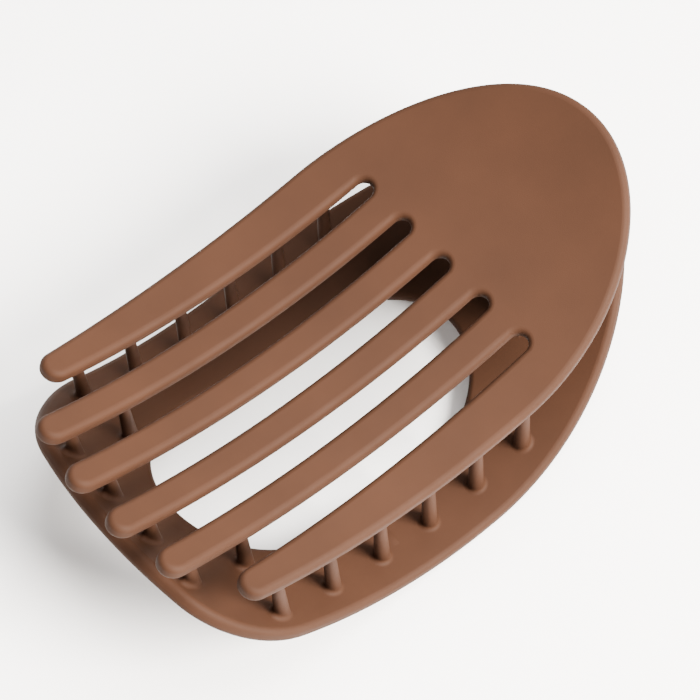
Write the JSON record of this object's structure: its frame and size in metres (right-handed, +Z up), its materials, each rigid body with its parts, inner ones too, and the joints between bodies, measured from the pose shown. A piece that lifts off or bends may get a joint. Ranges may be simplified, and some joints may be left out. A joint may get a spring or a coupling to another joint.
{
  "type": "claw clip",
  "caption": "Flat sprung claw clip for hair, with two boat-shaped jaws: a palm with long fingers over a ring-shaped plate with teeth.",
  "frame": {"origin": "Under the middle of the clip, on the surface that its belly rests on.", "axes": "+X points from the palm to the fingertips, +Y points across the clip, +Z points up."},
  "size_m": [0.1167, 0.0704, 0.0446],
  "materials": {
    "upper_plastic": "soft matte, mocha brown",
    "lower_plastic": "soft matte, mocha brown",
    "pin_steel": "drawn wire, dull",
    "spring_steel": "drawn spring wire, dull"
  },
  "bodies": {
    "lower": {"lower_jaw": "lower_plastic", "hinge_pin": "pin_steel", "torsion_spring": "spring_steel"},
    "upper": {"upper_jaw": "upper_plastic"}
  },
  "joints": [
    {"name": "jaw_open", "type": "hinge", "parent": "lower", "child": "upper", "pos_m": [-0.03455, 0, 0.0228], "axis": [0, -1, 0], "range_deg": [0, 20], "stiffness_Nm_per_rad": 0.3, "springref_deg": -34.38, "deforming": ["torsion_spring"]}
  ]
}
